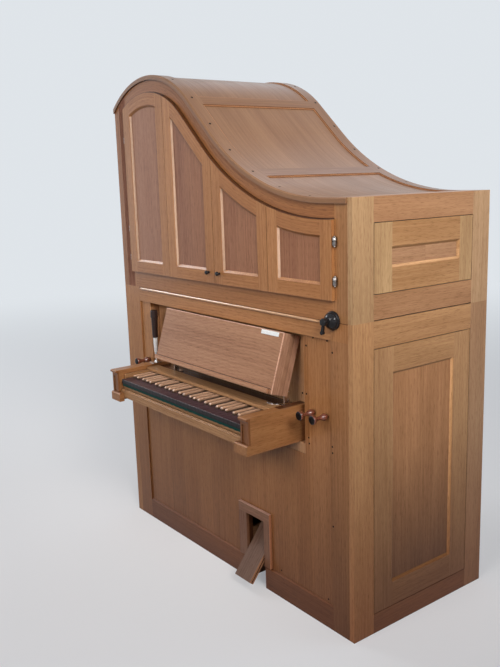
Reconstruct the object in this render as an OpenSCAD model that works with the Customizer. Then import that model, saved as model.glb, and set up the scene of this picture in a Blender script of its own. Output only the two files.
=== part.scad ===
// Small house pipe organ in oak: lower case with key desk and swell pedal, upper case with
// folding doors under an ogee roof. Front face is y = 0, floor is z = 0, middle of the width is x = 0.

/* [Case] */
// Room between the left side of the case and the key desk
room_l = 220.5; // [200:0.5:260]
// Room between the key desk and the right side of the case
room_r = 252.49; // [225:0.01:290]
// Depth of the case from front face to back
case_d = 625; // [540:5:720]
// Height of the joint between lower and upper case
split_z = 1013; // [950:1:1080]
// Height of the case at its low right end
low_z = 1376; // [1320:1:1430]
// Thickness of the side frames
side_t = 20; // [16:1:28]
// Width of the left corner post seen from the front
post_w = 36; // [20:1:50]
// Thickness of the front frames
front_t = 24; // [18:1:30]
// Thickness of the back boards
back_t = 12; // [8:1:20]
// Thickness of the base board
base_t = 22; // [16:1:30]
// Width of the bevelled moulding round the sunk fields
bevel_w = 8; // [4:1:12]

/* [Ogee roof] */
// Radius of the hump at the left
hump_r = 416; // [380:1:460]
// Distance of the top of the hump from the left side
hump_in = 265; // [240:1:290]
// Height of the top of the hump
hump_z = 1828; // [1790:1:1860]
// Radius of the hollow sweep down to the low end
sweep_r = 835; // [760:1:900]
// Slope of the straight stretch between hump and sweep
slope = 42.449; // [39:0.1:46]
// Thickness of the roof frame
roof_t = 17; // [12:1:24]
// Overhang of the roof edge beyond the front face
roof_nose = 6; // [0:1:14]
// Width of the roof stiles along the front and the back
roof_stile = 56; // [40:1:80]
// Width of the roof rail at the left end
roof_rail_l = 62; // [50:1:75]
// Length of the left roof field along the curve
roof_bay_1 = 513; // [480:1:540]
// Width of the roof rail after the left field
roof_rail_a = 57; // [45:1:70]
// Length of the middle roof field along the curve
roof_bay_2 = 368; // [340:1:390]
// Width of the roof rail after the middle field
roof_rail_b = 68; // [50:1:80]
// Width of the roof rail at the low end
roof_rail_r = 88; // [70:1:100]

/* [Doors] */
// Frame seen at the left of the doors
door_side_l = 54; // [40:1:70]
// Frame seen at the right of the doors
door_side_r = 52; // [40:1:70]
// Lower edge of the doors
door_z0 = 1077; // [1050:1:1110]
// Distance of the door heads below the roof curve
door_drop = 62; // [50:1:80]
// Distance of the sunk fields below the roof curve
field_drop = 108; // [95:1:130]
// Width of the door stiles
door_stile = 50; // [40:1:65]
// Height of the door bottom rails
door_rail = 44; // [35:1:60]
// How far the doors stand proud of the front face
door_proud = 13; // [8:1:20]
// Lap of the doors over the frame
door_lap = 10; // [6:1:16]
// Height of the lower hinges above the lower edge of the doors
hinge_lift = 58; // [45:1:75]
// Distance of the hinge barrels beside the doors
hinge_off = 6.5; // [6.2:0.1:8]
// Distance between the hinges of the short right leaf
hinge_pitch = 116; // [100:1:130]
// Distance of the upper left hinge below the head of its leaf
hinge_drop = 120; // [90:1:150]

/* [Lower front] */
// Width of the left stile
low_stile_l = 84; // [65:1:100]
// Width of the right stile
low_stile_r = 74; // [55:1:90]
// Upper edge of the bottom rail
low_z0 = 85; // [60:1:110]
// Lower edge of the top rail
low_z1 = 955; // [920:1:980]
// Depth of the panel behind the front face
panel_sink = 6; // [2:1:12]

/* [Side frames] */
// Width of the front stile of the sides
side_y0 = 86; // [60:1:110]
// Width of the rear stile of the sides
side_y1 = 85; // [60:1:110]
// Lower edge of the lower lift-out panel
acc_z0 = 66; // [40:1:90]
// Upper edge of the lower lift-out panel
acc_z1 = 929; // [880:1:960]
// Lower edge of the upper lift-out panel
acc_z2 = 1091; // [1070:1:1120]
// Upper edge of the upper lift-out panel
acc_z3 = 1302; // [1270:1:1330]
// Distance of the upper left panel below the roof's left end
acc_top = 132; // [110:1:160]
// Frame width of the lower lift-out panel
acc_frame = 83; // [60:1:100]
// Front stile of the upper lift-out panel
acc_stile_0 = 76; // [60:1:90]
// Rear stile of the upper lift-out panel
acc_stile_1 = 64; // [50:1:80]
// Rails of the upper lift-out panel
acc_rail = 74; // [60:1:85]
// Gap round the lift-out panels
acc_gap = 2; // [1:0.5:4]

/* [Key desk] */
// Block between the left cheek and the keys
key_block_l = 14.6; // [8:0.1:24]
// Block between the keys and the right cheek
key_block_r = 10.6; // [8:0.1:24]
// Thickness of the cheeks
cheek_t = 42; // [30:1:50]
// How far the cheeks stand out from the front face
desk_out = 207; // [170:1:240]
// Underside of the cheeks
desk_z0 = 597; // [580:1:610]
// Top of the cheeks
desk_z1 = 717; // [700:1:735]
// Height of the opening for the key desk, lower edge
recess_z0 = 562; // [540:1:580]
// Side margin between cheeks and opening
recess_gap = 29; // [15:1:45]
// Depth of the recess behind the front face
recess_d = 46; // [30:1:80]
// Width of the block at the foot of the cheeks
foot_w = 66; // [50:1:80]
// Height of the block at the foot of the cheeks
foot_h = 33; // [26:1:40]
// Underside of the bed above the underside of the cheeks
bed_lift = 15; // [8:1:24]
// Thickness of the bed
bed_t = 12; // [8:1:18]
// Width of the keyboard front rail
rail_w = 32; // [24:1:40]
// Height of the keyboard front rail
rail_h = 29; // [22:1:36]

/* [Keyboard] */
// Number of natural keys, from C to G
naturals_n = 33; // [29:1:36]
// Pitch of the natural keys
key_pitch = 23.57; // [22.5:0.01:24.2]
// Top of the natural keys
key_z = 684; // [670:1:700]
// Height of the sharps above the naturals
sharp_h = 11; // [8:0.5:14]
// Width of the sharps
sharp_w = 11; // [9:0.5:13]
// Front ends of the natural keys
key_y0 = -188; // [-200:1:-175]
// Front ends of the sharps
sharp_y0 = -146; // [-155:1:-135]
// Gap between neighbouring keys
key_gap = 1.1; // [0.6:0.1:2]
// Thickness of the key bodies
key_t = 16; // [12:1:20]
// Rear ends of the keys that are seen
key_y1 = -24; // [-40:1:-18]
// Height of the black shelf
shelf_z = 704; // [698:1:712]
// Depth of the light batten over the keys
batten_w = 51; // [40:1:60]
// Thickness of the light batten
batten_t = 11; // [8:1:14]

/* [Stop knobs] */
// Height of the stop knobs
stop_z = 713; // [690:1:740]
// Distance of the left stop knob from the left cheek
stop_out_l = 56.5; // [45:0.5:65]
// Distance of the inner right stop knob from the right cheek
stop_out_r = 72.5; // [60:0.5:85]
// Distance between the two right stop knobs
stop_pitch = 60; // [50:1:68]
// Length of the turned knob
stop_len = 60; // [45:1:75]
// Diameter of the black face
stop_d = 30; // [22:1:36]
// Radius of the stock that slides in the case
stop_r = 5; // [4:0.5:7]
// Running clearance of the stock
stop_gap = 0.5; // [0.2:0.1:1]

/* [Blower switch] */
// Distance of the switch from the right side
switch_in = 82; // [60:1:95]
// Height of the switch
switch_z = 1017; // [1000:1:1030]
// Diameter of the domed base
switch_d = 58; // [45:1:70]

/* [Swell pedal] */
// Middle of the pedal opening, right of the middle of the key desk
ped_in = 202.5; // [180:0.5:225]
// Width of the pedal opening
ped_gap_w = 99; // [94:1:110]
// Top of the pedal opening
ped_z1 = 256; // [230:1:280]
// Width of the trim round the opening
trim_w = 34; // [24:1:45]
// Thickness of the trim
trim_t = 10; // [6:1:14]
// Width of the pedal board
ped_w = 88; // [80:1:92]
// Length of the pedal board
ped_len = 256; // [220:1:290]
// Thickness of the pedal board
ped_t = 18; // [12:1:24]
// Radius of the pedal axle
axle_r = 5; // [4:0.5:7]
// Running clearance of the pedal on its axle
axle_gap = 0.05; // [0.02:0.01:0.1]
// Slope of the pedal at rest
ped_slope = 52; // [40:1:58]
// Distance of the axle behind the front face
axle_y = 33; // [28:1:40]
// Height of the axle
axle_z = 125; // [115:1:135]
// Depth of the bearers behind the axle
bearer_d = 57; // [40:1:70]
// Height of the bearers above the axle
bearer_h = 65; // [40:1:75]

/* [Music desk] */
// Middle of the music desk, right of the middle of the key desk
rest_in = 57; // [30:1:80]
// Width of the music desk
rest_w = 710; // [660:1:740]
// Height of the sloping front
rest_l = 199; // [170:1:230]
// Depth of the end boards
rest_d = 68; // [50:1:80]
// Head of the music desk below the top rail
rest_drop = 20; // [8:1:30]
// Lean of the music desk from upright
rest_lean = 17.6; // [10:0.1:25]

/* [Lamp] */
// Distance of the lamp from the outer side of the left cheek
lamp_in = 25; // [18:1:30]
// Place of the lamp along the cheek
lamp_y = -10; // [-30:1:10]
// Height of the slim foot
lamp_z0 = 44; // [35:1:55]
// Length of the white sleeve
lamp_z1 = 58; // [45:1:70]
// Length of the shade
lamp_z2 = 113; // [95:1:130]
// Radius of the shade at its top
lamp_r = 15; // [11:0.5:18]

/* [Hidden] */
$fn = 96;
big = 3000;

// the key desk takes its width from the keyboard, and the case is built round the desk
keys_w = naturals_n * key_pitch;
desk_w = keys_w + 2 * cheek_t + key_block_l + key_block_r;
case_w = desk_w + room_l + room_r;
hw = case_w / 2;
desk_x = -hw + room_l + desk_w / 2;

// the roof curve: hump arc about hc, straight run from t1 to t2, sweep arc about sc
hc = [-hw + hump_in, hump_z - hump_r];
t1 = hc + hump_r * [sin(slope), cos(slope)];
sweep_top = low_z + sweep_r * (1 - cos(slope));
run = (t1[1] - sweep_top) / sin(slope);
t2 = t1 + run * [cos(slope), -sin(slope)];
sc = t2 + sweep_r * [sin(slope), cos(slope)];
left_ang = 90 + asin(hump_in / hump_r);
len_a = hump_r * (left_ang - 90 + slope) * PI / 180;
len_b = len_a + run;
len_c = len_b + sweep_r * slope * PI / 180 + hw - sc[0];
front_x0 = -hw + post_w;
front_x1 = hw - side_t;
left_end_z = hc[1] + sqrt(pow(hump_r, 2) - pow(hump_in, 2));
left_z3 = left_end_z - acc_top;
door_x0 = front_x0 + door_side_l;
door_x1 = front_x1 - door_side_r;
door_w = (door_x1 - door_x0) / 4;
door_head = hc[1] + sqrt(pow(hump_r - door_drop, 2) - pow(door_x0 - hc[0], 2));
low_x0 = front_x0 + low_stile_l;
low_x1 = front_x1 - low_stile_r;
desk_x0 = desk_x - desk_w / 2;
desk_x1 = desk_x + desk_w / 2;
bay_x0 = desk_x0 + cheek_t;
bay_x1 = desk_x1 - cheek_t;
rec_x0 = desk_x0 - recess_gap;
rec_x1 = desk_x1 + recess_gap;
keys_x0 = bay_x0 + key_block_l;
keys_x1 = keys_x0 + keys_w;
bed_z0 = desk_z0 + bed_lift;
rail_y = -desk_out + 20;
felt_z = key_z - key_t - 5;
batten_z = shelf_z + 5 - batten_t;
stop_xa = desk_x0 - stop_out_l;
stop_xb = desk_x1 + stop_out_r;
stop_xc = stop_xb + stop_pitch;
switch_x = hw - switch_in;
lamp_x = desk_x0 + lamp_in;
ped_mid = desk_x + ped_in;
ped_x0 = ped_mid - ped_gap_w / 2;
ped_x1 = ped_mid + ped_gap_w / 2;
rest_x0 = desk_x + rest_in - rest_w / 2;
rest_x1 = desk_x + rest_in + rest_w / 2;

oak = [0.66, 0.47, 0.28];
oak_light = [0.76, 0.57, 0.34];
oak_dark = [0.55, 0.36, 0.20];
dark = [0.16, 0.10, 0.09];
black = [0.06, 0.06, 0.07];
pear = [0.80, 0.66, 0.46];
rosewood = [0.36, 0.15, 0.11];
felt = [0.06, 0.36, 0.28];
chrome = [0.78, 0.79, 0.80];
white = [0.92, 0.92, 0.90];

// Name of the piece to draw, or all of them

// box between two corners
module blk(a, b) {
  translate(a) cube(b - a);
}

// everything above the roof curve, over a depth dd along y; the curve is moved inward by o0 at the
// front and o1 at the back, and the body reaches 1 mm past both ends so that it cuts cleanly
module over(o0, o1, dd) {
  k = (o1 - o0) / dd;
  a = o0 - k;
  b = o1 + k;
  translate([0, -1, 0]) {
    difference() {
      at(t1) blk([-2 * hump_r, 0, -2 * hump_r], [0, dd + 2, hump_r]);
      translate([hc[0], -1, hc[1]]) rotate([-90, 0, 0])
        cylinder(h = dd + 4, r1 = hump_r - a + k, r2 = hump_r - b - k);
      blk([-big, -1, 0], [big, dd + 3, hc[1]]);
    }
    at(t1) rotate([90, 0, 90]) translate([0, 0, -5]) linear_extrude(run + 5)
      polygon([[0, -a], [dd + 2, -b], [dd + 2, hump_r], [0, hump_r]]);
    translate([sc[0], 0, sc[1]]) rotate([-90, 0, 0]) cylinder(h = dd + 2, r1 = sweep_r + a, r2 = sweep_r + b);
    rotate([90, 0, 90]) translate([0, 0, sc[0]]) linear_extrude(hw)
      polygon([[0, low_z - a], [dd + 2, low_z - b], [dd + 2, low_z + hump_r], [0, low_z + hump_r]]);
  }
}

// slab under the roof curve, dd thick along y, from x0 to x1 and from z0 up
module under(o, dd, x0 = -hw - 40, x1 = hw + 40, z0 = 0) {
  difference() {
    blk([x0, 0, z0], [x1, dd, hump_z + 20]);
    over(o, o, dd);
  }
}

// frame on the roof curve at a tangent point
module at(p) {
  translate([p[0], 0, p[1]]) rotate([0, slope, 0]) children();
}

// station on the roof curve at arc length s from the left end
function st_slope(s) = s < len_a ? 90 - left_ang + s / hump_r * 180 / PI
  : s < len_b ? slope : max(0, slope - (s - len_b) / sweep_r * 180 / PI);
function st_pos(s) = s < len_a ? hc + hump_r * [sin(st_slope(s)), cos(st_slope(s))]
  : s < len_b ? t1 + (s - len_a) * [cos(slope), -sin(slope)]
  : st_slope(s) > 0 ? sc - sweep_r * [sin(st_slope(s)), cos(st_slope(s))]
  : [sc[0] + s - len_b - sweep_r * slope * PI / 180, low_z];

// part of the roof between two stations and two depths
module stretch(s0, s1, y0, y1) {
  intersection() {
    translate([st_pos(s0)[0], y0, st_pos(s0)[1]]) rotate([0, st_slope(s0), 0])
      blk([0, 0, -hump_r], [case_w, y1 - y0, hump_r]);
    translate([st_pos(s1)[0], y0, st_pos(s1)[1]]) rotate([0, st_slope(s1), 0])
      blk([-case_w, 0, -hump_r], [0, y1 - y0, hump_r]);
  }
}

// curved layer of the roof between two depths below the top
module roof_layer(a, b, y0, y1) {
  translate([0, y0, 0]) difference() {
    under(a, y1 - y0, -hw, front_x1, low_z - 40);
    translate([0, -1, 0]) under(b, y1 - y0 + 2, -hw - 1, front_x1 + 1, low_z - 41);
  }
}

// rectangular hole that narrows by w over depth d, seen from the front (x right, z up)
module bevel_hole(x0, x1, z0, z1, w, d) {
  intersection() {
    translate([0, 0, z0]) linear_extrude(z1 - z0) polygon([[x0, 0], [x1, 0], [x1 - w, d], [x0 + w, d]]);
    translate([x0, 0, 0]) rotate([90, 0, 90]) linear_extrude(x1 - x0)
      polygon([[0, z0], [d, z0 + w], [d, z1 - w], [0, z1]]);
  }
}

// turned solid round the y axis, profile of [radius, y]
module turned(p) {
  rotate([-90, 0, 0]) rotate_extrude() polygon(p);
}

// panelled side drawn in its own plane: u along the depth, w up, v inward from the outer face
module side_frame(z0, z1, a0, a1) {
  difference() {
    blk([0, 0, z0], [case_d, side_t, z1]);
    blk([side_y0, -1, a0], [case_d - side_y1, 14, a1]);
    blk([side_y0 + 10, 10, a0 + 10], [case_d - side_y1 - 10, side_t + 1, a1 - 10]);
  }
}

// lift-out panel between heights a0 and a1, with stiles w0 and w1 and rails of height h
module access_frame(a0, a1, w0, w1, h) {
  u0 = side_y0 + w0;
  u1 = case_d - side_y1 - w1;
  f0 = a0 + h;
  f1 = a1 - h;
  difference() {
    blk([side_y0 + acc_gap, 0, a0 + acc_gap], [case_d - side_y1 - acc_gap, 14, a1 - acc_gap]);
    translate([0, -0.01, 0]) bevel_hole(u0, u1, f0, f1, bevel_w, 7.02);
    blk([u0 + bevel_w, 5, f0 + bevel_w], [u1 - bevel_w, 15, f1 - bevel_w]);
    blk([u0 - 4, 7, f0 - 4], [u1 + 4, 15, f1 + 4]);
  }
}

module access_field(a0, a1, w0, w1, h) {
  blk([side_y0 + w0 - 3, 7, a0 + h - 3], [case_d - side_y1 - w1 + 3, 13, a1 - h + 3]);
}

module on_right() {
  translate([hw, 0, 0]) rotate([0, 0, 90]) children();
}

module on_left() {
  translate([-hw, 0, 0]) mirror([1, 0, 0]) rotate([0, 0, 90]) children();
}

module lower_front_frame() {
  color(oak) difference() {
    blk([front_x0, 0, 0], [front_x1, front_t, split_z]);
    blk([low_x0, -1, low_z0], [low_x1, panel_sink + 1, low_z1]);
    blk([low_x0 - 10, panel_sink, low_z0 - 10], [low_x1 + 10, front_t + 1, low_z1 + 10]);
    blk([ped_x0, -1, -1], [ped_x1, front_t + 1, low_z0 + 1]);
    edge_cut(low_x0, low_x1, low_z0, 5);
    edge_cut(low_x0, low_x1, split_z, 5);
  }
}

// long chamfer along a front upper edge
module edge_cut(x0, x1, z, c) {
  translate([x0, 0, z]) rotate([90, 0, 90]) linear_extrude(x1 - x0)
    polygon([[-1, -c - 1], [-1, 1], [c + 1, 1]]);
}

module lower_front_panel() {
  color(oak) difference() {
    blk([low_x0 - 9, panel_sink, low_z0 - 9], [low_x1 + 9, front_t, low_z1 + 9]);
    blk([rec_x0, 0, recess_z0], [rec_x1, front_t + 1, low_z1]);
    blk([ped_x0, 0, 0], [ped_x1, front_t + 1, ped_z1]);
    for (x = [stop_xa, stop_xb, stop_xc]) translate([x, 0, stop_z]) rotate([-90, 0, 0])
      cylinder(h = 60, r = stop_r + stop_gap);
  }
}

module lower_side_right() {
  color(oak_light) on_right() side_frame(0, split_z, acc_z0, acc_z1);
}

// lift-out panels of the right side, lower and upper
module right_panels() {
  color(oak_light) on_right() {
    access_frame(acc_z0, acc_z1, acc_frame, acc_frame, acc_frame);
    access_frame(acc_z2, acc_z3, acc_stile_0, acc_stile_1, acc_rail);
  }
}

module right_fields() {
  color(oak_light) on_right() {
    access_field(acc_z0, acc_z1, acc_frame, acc_frame, acc_frame);
    access_field(acc_z2, acc_z3, acc_stile_0, acc_stile_1, acc_rail);
  }
}

// plain panels of the side toward the wall
module left_panels() {
  color(oak) on_left() for (z = [[acc_z0, acc_z1], [acc_z2, left_z3]])
    blk([side_y0 + acc_gap, 0, z[0] + acc_gap], [case_d - side_y1 - acc_gap, 14, z[1] - acc_gap]);
}

module lower_side_left() {
  color(oak) {
    on_left() side_frame(0, split_z, acc_z0, acc_z1);
    blk([-hw + side_t - 0.01, 0, 0], [front_x0, front_t, split_z]);
  }
}

module lower_back() {
  color(oak) blk([-hw + side_t, case_d - back_t, 0], [hw - side_t, case_d, split_z]);
}

module base_board() {
  color(oak_dark) difference() {
    blk([-hw + side_t, front_t, 0], [hw - side_t, case_d - back_t, base_t]);
    blk([ped_x0 - 2, 0, -1], [ped_x1 + 2, axle_y + ped_len / 2, base_t + 1]);
  }
}

module upper_front_frame() {
  color(oak) difference() {
    under(roof_t, front_t, front_x0, front_x1, split_z);
    translate([0, -1, 0])
      under(door_drop + door_lap, front_t + 2, door_x0 + door_lap, door_x1 - door_lap, door_z0 + door_lap);
  }
}

module upper_side_right() {
  color(oak_light) difference() {
    on_right() side_frame(split_z, low_z, acc_z2, acc_z3);
    blk([hw - 8, side_y0, split_z - 1], [hw + 1, case_d - side_y1, split_z + 3]);
  }
}

module upper_side_left() {
  color(oak) {
    intersection() {
      on_left() side_frame(split_z, hump_z, acc_z2, left_z3);
      under(roof_t, case_d, -hw - 1, front_x0);
    }
    under(roof_t, front_t, -hw + side_t - 0.01, front_x0, split_z);
  }
}

module upper_back() {
  color(oak) translate([0, case_d - back_t, 0]) under(roof_t, back_t, -hw + side_t, hw - side_t, split_z);
}

// the three roof fields as [first station, last station]
bay_a = roof_rail_l + roof_bay_1;
bay_b = bay_a + roof_rail_a + roof_bay_2;
roof_bays = [[roof_rail_l, bay_a], [bay_a + roof_rail_a, bay_b], [bay_b + roof_rail_b, len_c - roof_rail_r]];

module roof_frame() {
  color(oak_dark) difference() {
    roof_layer(0, roof_t, -roof_nose, case_d);
    translate([0, -roof_nose, 0]) over(4, 0, 4);
    for (b = roof_bays) {
      intersection() {
        roof_layer(-3, 2.6, 0, case_d);
        stretch(b[0] - 7, b[1] + 7, roof_stile - 7, case_d - roof_stile + 7);
      }
      intersection() {
        roof_layer(2, 5.2, 0, case_d);
        stretch(b[0] - 2, b[1] + 2, roof_stile - 2, case_d - roof_stile + 2);
      }
      intersection() {
        roof_layer(5, roof_t + 1, 0, case_d);
        stretch(b[0] - 10, b[1] + 10, roof_stile - 10, case_d - roof_stile + 10);
      }
    }
  }
}

module roof_fields() {
  color(oak_dark) for (b = roof_bays) intersection() {
    roof_layer(5, 12, 0, case_d);
    stretch(b[0] - 9, b[1] + 9, roof_stile - 9, case_d - roof_stile + 9);
  }
}

// one leaf of the folding doors, i counted from the left
module door_leaf(i) {
  x0 = door_x0 + i * door_w + (i == 0 ? 0 : 1);
  x1 = door_x0 + (i + 1) * door_w - (i == 3 ? 0 : 1);
  fx0 = door_x0 + i * door_w + door_stile;
  fx1 = door_x0 + (i + 1) * door_w - door_stile;
  fz0 = door_z0 + door_rail;
  difference() {
    union() {
      translate([0, -door_proud, 0]) under(door_drop, door_proud, x0, x1, door_z0);
      translate([0, -0.5, 0]) under(door_drop + door_lap + 2, 9.5, max(x0, door_x0 + door_lap + 2),
        min(x1, door_x1 - door_lap - 2), door_z0 + door_lap + 2);
    }
    translate([0, -door_proud - 0.01, 0]) difference() {
      bevel_hole(fx0, fx1, fz0, hump_z + 20, bevel_w, 7.02);
      over(field_drop, field_drop + bevel_w, 7.02);
    }
    translate([0, -door_proud + 5, 0])
      under(field_drop + bevel_w, 30, fx0 + bevel_w, fx1 - bevel_w, fz0 + bevel_w);
    translate([0, -6, 0]) under(field_drop - 4, 30, fx0 - 4, fx1 + 4, fz0 - 4);
  }
}

module door_leaf_1() {
  color(oak) door_leaf(0);
}

module door_leaf_2() {
  color(oak) door_leaf(1);
}

module door_leaf_3() {
  color(oak) door_leaf(2);
}

module door_leaf_4() {
  color(oak) door_leaf(3);
}

module door_fields() {
  color(oak) for (i = [0 : 3]) translate([0, -6, 0])
    under(field_drop - 3, 7, door_x0 + i * door_w + door_stile - 3,
      door_x0 + (i + 1) * door_w - door_stile + 3, door_z0 + door_rail - 3);
}

// barrel hinge with turned ends at distance d before the frame, its leaves bearing on door edge
// and frame, s = 1 at the right side
module barrel(x, z, s, r, d) {
  translate([x, -d, z]) {
    for (k = [-1, 1]) scale([1, 1, k]) {
      translate([0, 0, 1]) cylinder(h = 10.5, r = r);
      translate([0, 0, 11.5]) cylinder(h = 2.5, r1 = r, r2 = r - 2);
      translate([0, 0, 13.5]) sphere(r = 3);
    }
    translate([0, 0, -8]) cylinder(h = 16, r = r - 2);
    blk([-1.5, 0, -11], [1.5, d, -2]);
    blk([min(0, -s * hinge_off), -1.5, 2], [max(0, -s * hinge_off), 1.5, 11]);
  }
}

module door_hinges() {
  z = door_z0 + hinge_lift;
  color(chrome) {
    for (h = [z, z + hinge_pitch]) barrel(door_x1 + hinge_off, h, 1, 6, 7);
    for (h = [z, z + hinge_pitch, door_head - hinge_drop]) barrel(door_x0 - hinge_off, h, -1, 5, 5.5);
  }
}

module door_knobs() {
  mid = (door_x0 + door_x1) / 2;
  color(black) for (x = [mid - 34, mid + 31]) translate([x, -door_proud, door_z0 + 38])
    turned([[0, 0], [4, 0], [4, -6], [7, -9], [8, -12], [7, -15], [4, -17], [0, -17.5]]);
}

// lining of the opening behind the key desk, with the board that closes it below the desk
module recess_lining() {
  color(oak_dark) {
    difference() {
      blk([rec_x0 - 10, front_t, recess_z0 - 10], [rec_x1 + 10, recess_d + 10, low_z1 + 10]);
      blk([rec_x0, front_t - 1, desk_z0 - 0.3], [rec_x1, recess_d, low_z1]);
    }
    blk([rec_x0, front_t - 16, recess_z0], [rec_x1, front_t + 1, desk_z0 - 0.3]);
  }
}

// one cheek of the key desk with its moulded top, a sunk front end and a block at its foot,
// s = 1 when its inner side faces right
module cheek(x, s) {
  nose = -desk_out;
  face = nose + 9;
  cove = 9;
  under_cap = desk_z1 - 8;
  difference() {
    union() {
      translate([x, 0, 0]) rotate([90, 0, 90]) linear_extrude(cheek_t) difference() {
        polygon([[recess_d, desk_z0], [face, desk_z0], [face, under_cap - cove], [nose, under_cap - cove],
                 [nose, desk_z1], [recess_d, desk_z1]]);
        translate([nose, under_cap - cove]) circle(r = cove);
        translate([nose, desk_z1]) difference() {
          square(10, center = true);
          translate([5, -5]) circle(r = 5);
        }
      }
      translate([s > 0 ? x : x + cheek_t - foot_w, 0, 0]) rotate([90, 0, 90]) linear_extrude(foot_w)
        polygon([[nose + 20, desk_z0], [nose, desk_z0], [nose, desk_z0 + foot_h - 4],
                 [nose + 4, desk_z0 + foot_h], [nose + 20, desk_z0 + foot_h]]);
    }
    blk([x + 7, nose - 1, desk_z0 + foot_h], [x + cheek_t - 17, nose + 13, desk_z1 - 24]);
  }
}

module desk_cheeks() {
  color(oak_light) {
    cheek(desk_x0, 1);
    cheek(desk_x1 - cheek_t, -1);
  }
}

// bottom board of the key desk with the bearer the keys lie on
module desk_bed() {
  color(oak) {
    blk([bay_x0, rail_y + rail_w - 20, bed_z0], [bay_x1, recess_d, bed_z0 + bed_t]);
    blk([bay_x0 + 2, rail_y + rail_w - 5, bed_z0 + bed_t - 1], [bay_x1 - 2, key_y1, key_z - key_t]);
  }
}

// front rail of the keyboard: coved upper edge, small bead, and the slip the felt lies on
module key_rail() {
  color(oak_light) {
    difference() {
      blk([bay_x0, rail_y, bed_z0], [bay_x1, rail_y + rail_w - 20, bed_z0 + rail_h]);
      translate([bay_x0 - 1, rail_y, bed_z0 + rail_h]) rotate([0, 90, 0])
        cylinder(h = bay_x1 - bay_x0 + 2, r = 4);
    }
    translate([bay_x0, rail_y + 6, bed_z0 + rail_h - 1]) rotate([0, 90, 0])
      cylinder(h = bay_x1 - bay_x0, r = 3);
    blk([bay_x0, rail_y + rail_w - 20.5, bed_z0 + bed_t], [bay_x1, rail_y + rail_w - 8, felt_z - 6]);
  }
}

module felt_strip() {
  color(felt) blk([bay_x0, rail_y + rail_w - 22, felt_z - 6], [bay_x1, rail_y + rail_w - 8, felt_z]);
}

// sharps sit at these places in an octave, counted in naturals, with their small offsets
sharp_at = [0.90, 2.10, 3.86, 5.00, 6.14];
sharps_x = [for (o = [0 : 4]) for (k = [0 : 4]) if (7 * o + sharp_at[k] < naturals_n - 1) 7 * o + sharp_at[k]];

module naturals() {
  color(dark) difference() {
    for (i = [0 : naturals_n - 1])
      blk([keys_x0 + i * key_pitch + key_gap / 2, key_y0, key_z - key_t],
          [keys_x0 + (i + 1) * key_pitch - key_gap / 2, key_y1, key_z]);
    for (s = sharps_x)
      blk([keys_x0 + s * key_pitch - sharp_w / 2 - key_gap, sharp_y0 - key_gap, key_z - key_t - 1],
          [keys_x0 + s * key_pitch + sharp_w / 2 + key_gap, key_y1 + 1, key_z + 1]);
  }
}

module sharps() {
  color(pear) for (s = sharps_x)
    translate([keys_x0 + s * key_pitch - sharp_w / 2, 0, 0]) rotate([90, 0, 90]) linear_extrude(sharp_w)
      polygon([[sharp_y0, key_z - key_t], [sharp_y0, key_z + sharp_h - 4], [sharp_y0 + 4, key_z + sharp_h],
               [key_y1, key_z + sharp_h], [key_y1, key_z - key_t]]);
}

// light batten over the tails of the keys, with the blocks at both ends of the keyboard
module key_batten() {
  color(oak_light) {
    blk([bay_x0, -15 - batten_w, batten_z], [bay_x1, -15, batten_z + batten_t]);
    blk([bay_x0, key_y0 + 20, key_z - key_t + 2], [keys_x0 - 1, key_y1, batten_z + 1]);
    blk([keys_x1 + 1, key_y0 + 20, key_z - key_t + 2], [bay_x1, key_y1, batten_z + 1]);
  }
}

module desk_shelf() {
  color(black) {
    blk([bay_x0, -15, shelf_z - 12], [bay_x1, recess_d, shelf_z]);
    blk([bay_x0, 10, bed_z0 + bed_t], [bay_x1, 22, shelf_z - 11]);
  }
}

// sloping music desk: front board, two end boards, head, and the ledge along its foot
module on_rest() {
  translate([0, recess_d - 2, low_z1 - rest_drop]) rotate([-rest_lean, 0, 0]) children();
}

module music_desk() {
  color(oak) on_rest() {
    blk([rest_x0, -rest_d, -rest_l], [rest_x1, -rest_d + 14, 0]);
    blk([rest_x0, -rest_d + 13, -rest_l], [rest_x0 + 18, 0, 0]);
    blk([rest_x1 - 18, -rest_d + 13, -rest_l], [rest_x1, 0, 0]);
    blk([rest_x0 + 1, -rest_d + 13, -14], [rest_x1 - 1, -1, -1]);
    blk([rest_x0 + 2, -rest_d - 10, -rest_l], [rest_x1 - 14, -rest_d + 1, -rest_l + 15]);
  }
}

// plated angle brackets that carry the music desk on the shelf, s = 1 at the left end
module fitting(x, s) {
  blk([min(x, x + s * 24), -13, shelf_z], [max(x, x + s * 24), 16, shelf_z + 3]);
  blk([min(x, x + s * 3), -13, shelf_z], [max(x, x + s * 3), 8, shelf_z + 110]);
}

module desk_fittings() {
  color(chrome) {
    fitting(rest_x0 + 18, 1);
    fitting(rest_x1 - 18, -1);
  }
}

module name_plate() {
  color(white) on_rest() blk([rest_x1 - 112, -rest_d - 1.5, -17], [rest_x1 - 24, -rest_d, -3]);
}

// plated foot on the left cheek: small plate, slim stem, collar
module lamp_foot() {
  color(chrome) {
    blk([lamp_x - 12, lamp_y - 24, desk_z1], [desk_x0 + cheek_t, lamp_y + 16, desk_z1 + 3]);
    translate([lamp_x, lamp_y, desk_z1]) rotate_extrude()
      polygon([[0, 1], [9, 1], [9, 6], [4, 9], [4, lamp_z0 - 10], [6, lamp_z0 - 8], [6, lamp_z0],
               [0, lamp_z0]]);
  }
}

module lamp_neck() {
  color(white) translate([lamp_x, lamp_y, desk_z1 + lamp_z0]) rotate_extrude()
    polygon([[0, 0], [7, 0], [7.5, 4], [9.5, lamp_z1 - 6], [9.5, lamp_z1], [0, lamp_z1]]);
}

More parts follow.
